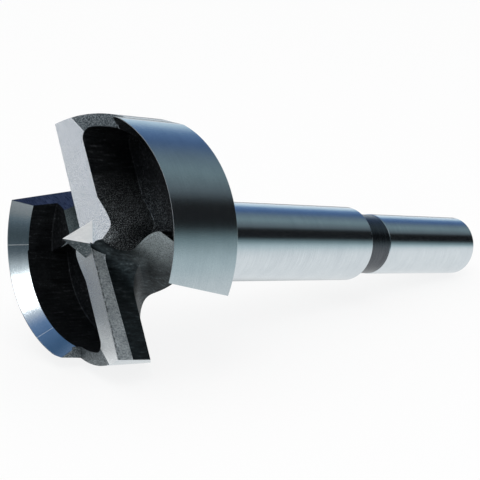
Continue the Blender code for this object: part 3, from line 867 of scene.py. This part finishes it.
# painted shade: the floor seen by glossy rays is toned by place, dark past the bit and darker before the tip
across = addRange(tree, split.outputs["Y"], floorLook["nearest"], floorLook["farthest"], 0.0, 1.0)
across = addRamp(tree, across, floorLook["seenAcross"])
before = addRange(tree, split.outputs["X"], *floorLook["beforeTip"], floorLook["beforeTipShade"], 1.0)
toned = addNode(tree, "ShaderNodeVectorMath", {"operation": "SCALE"}, None, {0: across, "Scale": before})
paper = mixColours(tree, path.outputs["Is Glossy Ray"], (1, 1, 1), toned.outputs[0])
glow = addNode(tree, "ShaderNodeEmission", None, {"Strength": 1.0}, {"Color": paper})
mixShader = addNode(tree, "ShaderNodeMixShader", None, None,
                    {"Fac": amount, 1: shader.outputs[0], 2: glow.outputs[0]})
tree.links.new(mixShader.outputs[0], output.inputs["Surface"])
floor.data.materials.append(floorPaper)

# The room is seen in the steel: its colour runs with the angle around the bit's length,
# once for what lies past the shank and once for what lies before the tip.
roomLook = {
    "pastShank": [(0.0, (0.26, 0.36, 0.39)), (0.055, (0.08, 0.12, 0.13)), (0.08, (0.003, 0.004, 0.006)),
                  (0.23, (0.003, 0.004, 0.005)), (0.29, (0.11, 0.14, 0.16)), (0.43, (0.19, 0.27, 0.30)),
                  (0.54, (0.14, 0.20, 0.25)), (0.66, (0.06, 0.12, 0.26)), (0.79, (0.13, 0.24, 0.44)),
                  (0.86, (0.55, 0.74, 0.88)), (1.0, (0.95, 0.97, 1.0))],
    "beforeTip": [(0.0, (0.13, 0.19, 0.23)), (0.04, (0.07, 0.10, 0.12)), (0.10, (0.04, 0.06, 0.07)),
                  (0.20, (0.08, 0.11, 0.13)), (0.275, (0.60, 0.68, 0.71)), (0.33, (0.84, 0.91, 0.92)),
                  (0.44, (0.92, 0.98, 0.98)), (0.53, (0.12, 0.22, 0.40)), (0.68, (0.04, 0.10, 0.20)),
                  (0.755, (0.12, 0.20, 0.33)), (0.775, (1.0, 1.0, 1.0)),
                  (0.90, (1.0, 1.0, 1.0)), (0.94, (0.12, 0.13, 0.14)), (1.0, (0.10, 0.11, 0.12))],
    "beforeTipFrom": -0.1, "pastShankFrom": 0.25,     # where one gives way to the other
    "fillLight": (1.0, 1.0, 1.0), "behind": (1, 1, 1),
}
room = bpy.data.worlds.new("studioRoom")
bpy.context.scene.world = room
room.use_nodes = True
tree = room.node_tree
tree.nodes.clear()
coords = addNode(tree, "ShaderNodeTexCoord")
split = addNode(tree, "ShaderNodeSeparateXYZ", links={"Vector": coords.outputs["Generated"]})
ahead = addMath(tree, "MULTIPLY", split.outputs["Y"], -1.0)
angle = addMath(tree, "ARCTAN2", split.outputs["Z"], ahead)
angle = addRange(tree, angle, 0.0, math.pi, 0.0, 1.0)
pastShank = addRamp(tree, angle, roomLook["pastShank"])
beforeTip = addRamp(tree, angle, roomLook["beforeTip"])
sideways = addRange(tree, split.outputs["X"], roomLook["beforeTipFrom"], roomLook["pastShankFrom"], 0.0, 1.0)
roomColour = mixColours(tree, sideways, beforeTip, pastShank)
path = addNode(tree, "ShaderNodeLightPath")
reflected = addMath(tree, "MAXIMUM", path.outputs["Is Glossy Ray"], path.outputs["Is Transmission Ray"])
roomSeen = mixColours(tree, reflected, roomLook["fillLight"], roomColour)
whiteBehind = mixColours(tree, path.outputs["Is Camera Ray"], roomSeen, roomLook["behind"])
background = addNode(tree, "ShaderNodeBackground", None, {"Strength": 1.0}, {"Color": whiteBehind})
addNode(tree, "ShaderNodeOutputWorld", links={"Surface": background.outputs[0]})

lampLook = {"place": (-0.42, -0.30, 0.70), "size": 0.35, "power": 1.2, "aim": (-0.03, 0.0, 0.015)}
startFresh()
bpy.ops.object.light_add(type="AREA", location=lampLook["place"])
lamp = bpy.context.object
lamp.name = "softLamp"
lamp.data.size = lampLook["size"]
lamp.data.energy = lampLook["power"]
lamp.rotation_euler = (Vector(lampLook["aim"]) - Vector(lampLook["place"])).to_track_quat("-Z", "Y").to_euler()

view = {
    "focalPixels": 1413.6746, "sensor": 36.0, "pixels": 480, "clip": (0.01, 50.0),
    "place": (148.0348, 0.0, 124.8069),
    "turn": ((0.72369585, -0.01157225, 0.69002203), (0.01712444, 0.99985266, -0.00119176),
             (-0.68990656, 0.01267871, 0.72378739)),
}
startFresh()
bpy.ops.object.camera_add()
camera = bpy.context.object
camera.name = "photoCamera"
camera.data.sensor_width = view["sensor"]
camera.data.lens = view["focalPixels"] / view["pixels"] * view["sensor"]
camera.data.clip_start, camera.data.clip_end = view["clip"]
standing = Matrix.Translation(Vector(view["place"]) * millimetre) @ Matrix(view["turn"]).to_4x4()
camera.matrix_world = lyingPose @ standing
bpy.context.scene.camera = camera
bpy.context.scene.view_settings.view_transform = "Standard"
print("room and camera ready")
